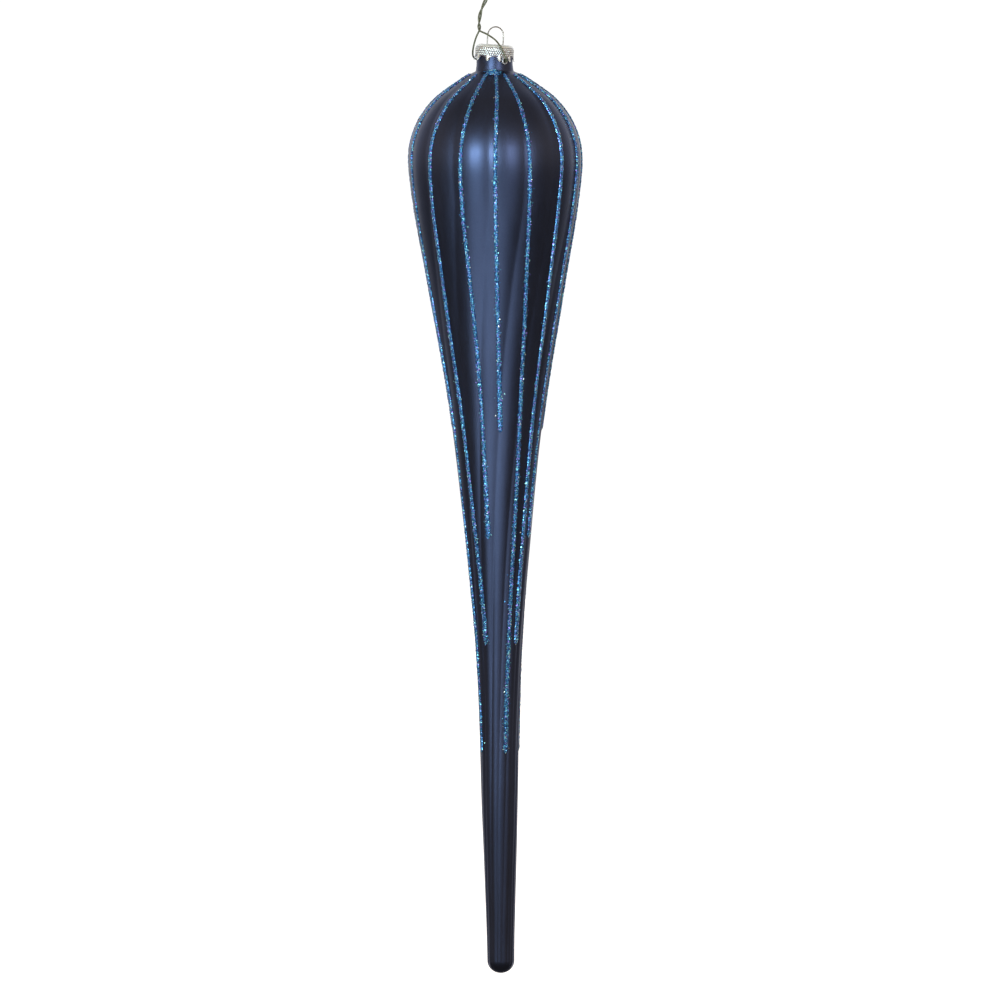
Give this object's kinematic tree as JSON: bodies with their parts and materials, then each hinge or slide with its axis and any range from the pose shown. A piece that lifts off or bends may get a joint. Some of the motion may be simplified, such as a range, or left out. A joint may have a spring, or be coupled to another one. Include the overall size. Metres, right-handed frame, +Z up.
{
  "type": "icicle hanging ornament",
  "caption": "Long fluted icicle ornament: hollow teardrop shell tapering to a round tip, glitter lines, scalloped crown cap, spring-wire hanger and twisted tie wire.",
  "frame": {"origin": "inside top of the tie wire's eye, where a hook bears, straight above the shell's axis", "axes": "+Z up along the shell's axis towards the hook, the tip is at -Z; -Y is the front; +X is to the right seen from the front"},
  "size_m": [0.0746, 0.075, 0.4274],
  "materials": {
    "midnight_blue": "satin metallic midnight blue paint on blow-moulded plastic",
    "blue_glitter": "blue glitter flakes in clear adhesive",
    "pressed_silver": "bright pressed sheet with an embossed side",
    "spring_steel": "bright drawn spring wire",
    "green_wire": "green enamelled florist's wire"
  },
  "bodies": {
    "tie_wire": {"floral_wire": "green_wire"},
    "ornament": {"ornament_shell": "midnight_blue", "cap": "pressed_silver", "glitter_dab": "blue_glitter", "glitter_line_01": "blue_glitter", "glitter_line_02": "blue_glitter", "glitter_line_03": "blue_glitter", "glitter_line_04": "blue_glitter", "glitter_line_05": "blue_glitter", "glitter_line_06": "blue_glitter", "glitter_line_07": "blue_glitter", "glitter_line_08": "blue_glitter", "glitter_line_09": "blue_glitter", "glitter_line_10": "blue_glitter", "glitter_line_11": "blue_glitter", "glitter_line_12": "blue_glitter", "glitter_line_13": "blue_glitter", "glitter_line_14": "blue_glitter", "glitter_line_15": "blue_glitter", "glitter_line_16": "blue_glitter"},
    "hanger": {"hanger_loop": "spring_steel"}
  },
  "joints": [
    {"name": "neck_swing", "type": "hinge", "parent": "tie_wire", "child": "ornament", "pos_m": [0, 0, -0.0413], "axis": [0.5592, -0.829, 0], "range_deg": [-30, 16]},
    {"name": "hanger_slide", "type": "slide", "parent": "ornament", "child": "hanger", "axis": [0.0698, 0, 0.9976], "range_m": [-0.003, 0]}
  ]
}
